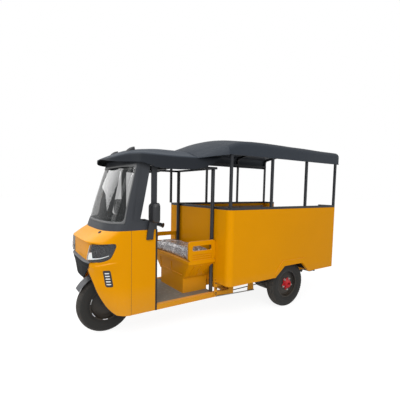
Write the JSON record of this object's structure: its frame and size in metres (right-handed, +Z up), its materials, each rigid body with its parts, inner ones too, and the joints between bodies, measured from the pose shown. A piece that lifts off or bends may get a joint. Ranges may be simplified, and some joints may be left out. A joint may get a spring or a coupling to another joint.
{
  "type": "electric passenger tricycle",
  "caption": "Electric passenger tricycle with a moulded cab over one steered front wheel and an open-sided box with facing benches under a canopy.",
  "frame": {"origin": "on the ground below the middle of the overall box", "axes": "+X forward, +Y to the vehicle's left, +Z up"},
  "size_m": [3, 1.16, 1.869],
  "materials": {
    "body_paint": "glossy enamel",
    "nose_moulding": "glossy moulded panel",
    "floor_paint": "grey floor paint",
    "black_moulding": "grained black moulding",
    "slate_moulding": "satin slate moulding",
    "black_tube": "black powder coat",
    "running_gear": "black chassis paint",
    "motor_casting": "cast aluminium",
    "light_lens": "white light guide",
    "tail_lens": "red lens",
    "glass": "clear laminated glass",
    "tarpaulin": "coated tarpaulin",
    "seat_cover": "printed cover under clear film",
    "bench_cover": "brown leathercloth",
    "tyre": "black rubber",
    "wheel_paint": "red hub paint"
  },
  "bodies": {
    "chassis": {"chassis_frame": "body_paint", "cab_side_panels": "body_paint", "seat_base": "body_paint", "front_wall": "body_paint", "box_side_left": "body_paint", "box_side_right": "body_paint", "rear_returns": "body_paint", "bench_frames": "body_paint", "nose_shell": "nose_moulding", "cab_floor": "floor_paint", "box_floor": "floor_paint", "nose_apron": "black_moulding", "headlamps": "black_moulding", "marker_plates": "black_moulding", "dashboard": "black_moulding", "roof_lamps": "black_moulding", "mirrors": "black_moulding", "battery_block": "black_moulding", "wheel_arches": "black_moulding", "windscreen_surround": "slate_moulding", "cab_canopy": "slate_moulding", "door_posts": "black_tube", "cab_roof_frame": "black_tube", "partition_posts": "black_tube", "top_rail": "black_tube", "canopy_posts": "black_tube", "canopy_bows": "black_tube", "rear_step": "black_tube", "rear_axle": "running_gear", "leaf_springs": "running_gear", "brake_rod": "running_gear", "drive_motor": "motor_casting", "light_bars": "light_lens", "tail_lamps": "tail_lens", "windscreen_glass": "glass", "passenger_canopy": "tarpaulin", "seat_cushion": "seat_cover", "bench_cushions": "bench_cover", "bench_backs": "bench_cover"},
    "steering": {"fork": "black_tube", "handlebar": "black_tube", "front_mudguard": "black_moulding"},
    "front_wheel": {"front_tyre": "tyre", "front_rim": "running_gear"},
    "rear_wheel_left": {"rear_tyre_left": "tyre", "rear_rim_left": "wheel_paint"},
    "rear_wheel_right": {"rear_tyre_right": "tyre", "rear_rim_right": "wheel_paint"}
  },
  "joints": [
    {"name": "steering", "type": "hinge", "parent": "chassis", "child": "steering", "pos_m": [1.21328, 0, 0.265], "axis": [-0.3584, 0, 0.9336], "range_deg": [-30, 30]},
    {"name": "front_wheel_spin", "type": "hinge", "parent": "steering", "child": "front_wheel", "pos_m": [1.235, 0, 0.265], "axis": [0, 1, 0], "continuous": true},
    {"name": "rear_left_spin", "type": "hinge", "parent": "chassis", "child": "rear_wheel_left", "pos_m": [-0.765, 0.437, 0.265], "axis": [0, 1, 0], "continuous": true},
    {"name": "rear_right_spin", "type": "hinge", "parent": "chassis", "child": "rear_wheel_right", "pos_m": [-0.765, -0.437, 0.265], "axis": [0, 1, 0], "continuous": true}
  ]
}
